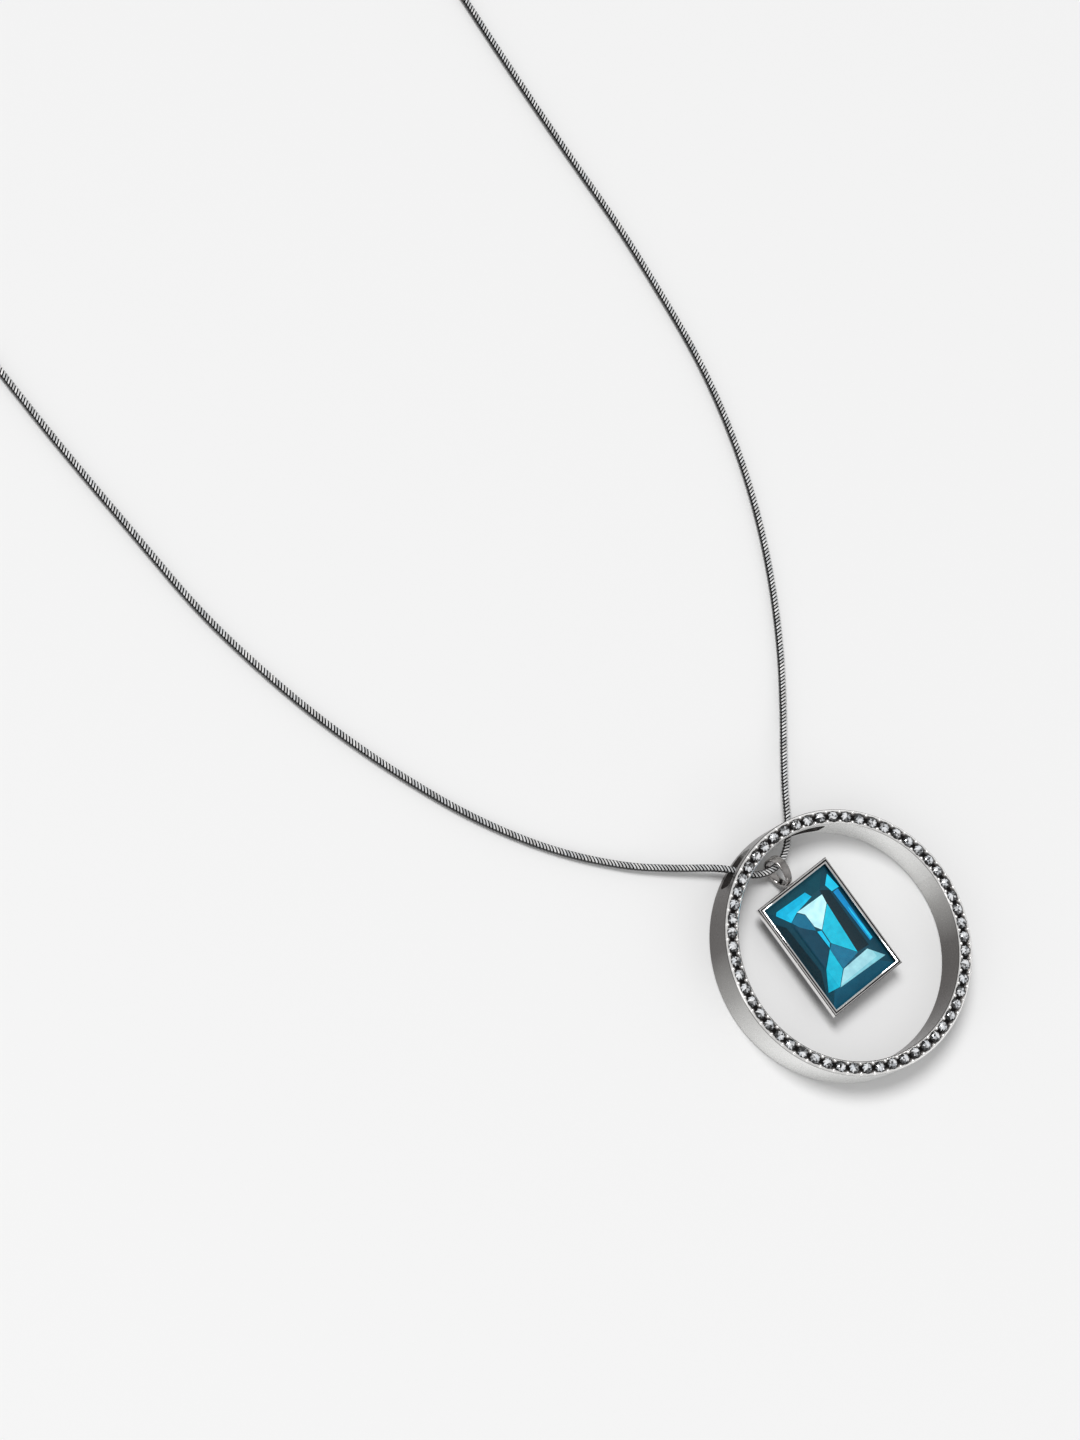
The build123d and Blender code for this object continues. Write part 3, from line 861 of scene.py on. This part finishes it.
floor = new_piece(
    "floor",
    [Vector((x * FLOOR_HALF, y * FLOOR_HALF, 0)) for x, y in CORNERS],
    [(0, 1, 2, 3)],
    [],
)
floor_finish = Finish("pale_floor")
floor.data.materials.append(
    floor_finish.surface(
        floor_finish.principled(
            {"Base Color": opaque(FLOOR_GREY, FLOOR_GREY, FLOOR_GREY), "Roughness": 0.8}
        )
    )
)


def hang_lamp(lamp, place, direction):
    holder = bpy.data.objects.new(lamp.name, lamp)
    holder.location = place
    holder.rotation_euler = direction.to_track_quat("-Z", "Y").to_euler()
    bpy.context.scene.collection.objects.link(holder)


def softbox(name, place, width, height, power):
    """A soft studio lamp that faces the pendant."""
    lamp = bpy.data.lights.new(name, "AREA")
    lamp.shape = "RECTANGLE"
    lamp.size = width
    lamp.size_y = height
    lamp.energy = power
    hang_lamp(lamp, place, -Vector(place))


softbox("left_strip", (-0.50, 0.10, 0.26), STRIP_SHORT, STRIP_LONG, STRIP_POWER)
softbox("near_strip", (0.02, -0.55, 0.26), STRIP_LONG, STRIP_SHORT, STRIP_POWER)
key = bpy.data.lights.new("key", "SUN")
key.energy = KEY_STRENGTH
key.angle = KEY_SPREAD
hang_lamp(key, (0, 0, 0), KEY_DIRECTION)

room = bpy.data.worlds.new("studio")
room.use_nodes = True
backdrop = room.node_tree.nodes["Background"].inputs
backdrop["Color"].default_value = opaque(1.0, 1.0, 1.0)
backdrop["Strength"].default_value = ROOM_STRENGTH
bpy.context.scene.world = room
bpy.context.scene.view_settings.view_transform = "Standard"

# ================================================================ camera
CAMERA_PLACE = Vector((-0.2895, 0.0560, 0.5492))
CAMERA_RIGHT = Vector((0.7218, -0.5901, 0.3618))
CAMERA_FORWARD = Vector((0.4449, -0.0048, -0.8955))
camera_data = bpy.data.cameras.new("camera")
camera_data.sensor_fit = "VERTICAL"
camera_data.sensor_height = 36.0
camera_data.lens = 105.0
camera_data.clip_start = 0.01
camera_back = -CAMERA_FORWARD.normalized()
camera_up = camera_back.cross(CAMERA_RIGHT).normalized()
camera_right = camera_up.cross(camera_back)
camera = bpy.data.objects.new("camera", camera_data)
camera.matrix_world = Matrix.Translation(CAMERA_PLACE) @ Matrix(
    (camera_right, camera_up, camera_back)
).transposed().to_4x4()
bpy.context.scene.collection.objects.link(camera)
bpy.context.scene.camera = camera

# ================================================================ close
bpy.context.view_layer.update()
